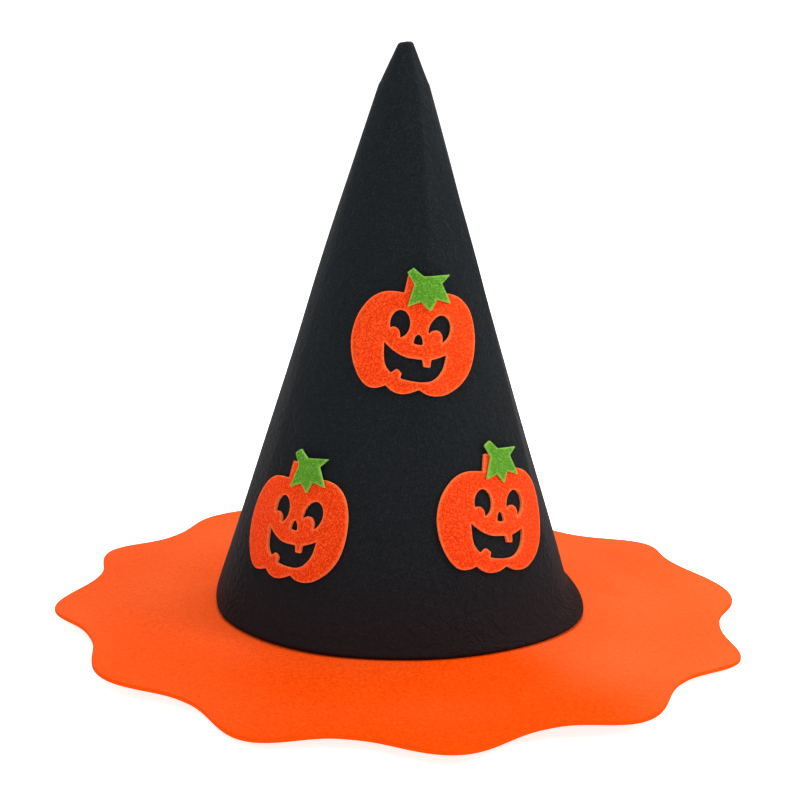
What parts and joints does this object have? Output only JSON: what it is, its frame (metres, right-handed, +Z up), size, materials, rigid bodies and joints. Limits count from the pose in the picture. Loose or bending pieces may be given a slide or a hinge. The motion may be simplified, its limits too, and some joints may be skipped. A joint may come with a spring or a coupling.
{
  "type": "witch hat",
  "caption": "Pointed felt costume hat with a straight conical crown, a shallow scalloped brim and cut-out pumpkins with leaves glued to the front.",
  "frame": {"origin": "on the crown's axis, in the plane that the tips of the brim's scallops rest on", "axes": "+Z up the crown, -Y towards the front, which carries the pumpkins, and +X to the right of someone who looks at the front"},
  "size_m": [0.3472, 0.3472, 0.282],
  "materials": {
    "black_felt": "needle-punched felt, black, matt",
    "stiff_interlining": "bonded non-woven, charcoal, matt",
    "black_thread": "spun polyester thread, black",
    "orange_felt": "stiffened needle-punched felt, orange, matt",
    "grosgrain_ribbon": "woven grosgrain ribbon, black",
    "pumpkin_felt": "needle-punched felt, red-orange, matt",
    "leaf_felt": "needle-punched felt, leaf green, matt",
    "hot_melt": "set hot-melt adhesive, translucent cream",
    "label_satin": "blank satin label tape, white",
    "white_thread": "spun polyester thread, white"
  },
  "bodies": {
    "root": {"crown_shell": "black_felt", "crown_interlining": "stiff_interlining", "crown_seam_thread": "black_thread", "brim": "orange_felt", "sweatband": "grosgrain_ribbon", "base_seam_thread": "black_thread", "pumpkin_top": "pumpkin_felt", "pumpkin_left": "pumpkin_felt", "pumpkin_right": "pumpkin_felt", "leaf_top": "leaf_felt", "leaf_left": "leaf_felt", "leaf_right": "leaf_felt", "pumpkin_glue": "hot_melt", "leaf_glue": "hot_melt", "care_label": "label_satin", "label_thread": "white_thread"}
  },
  "joints": []
}
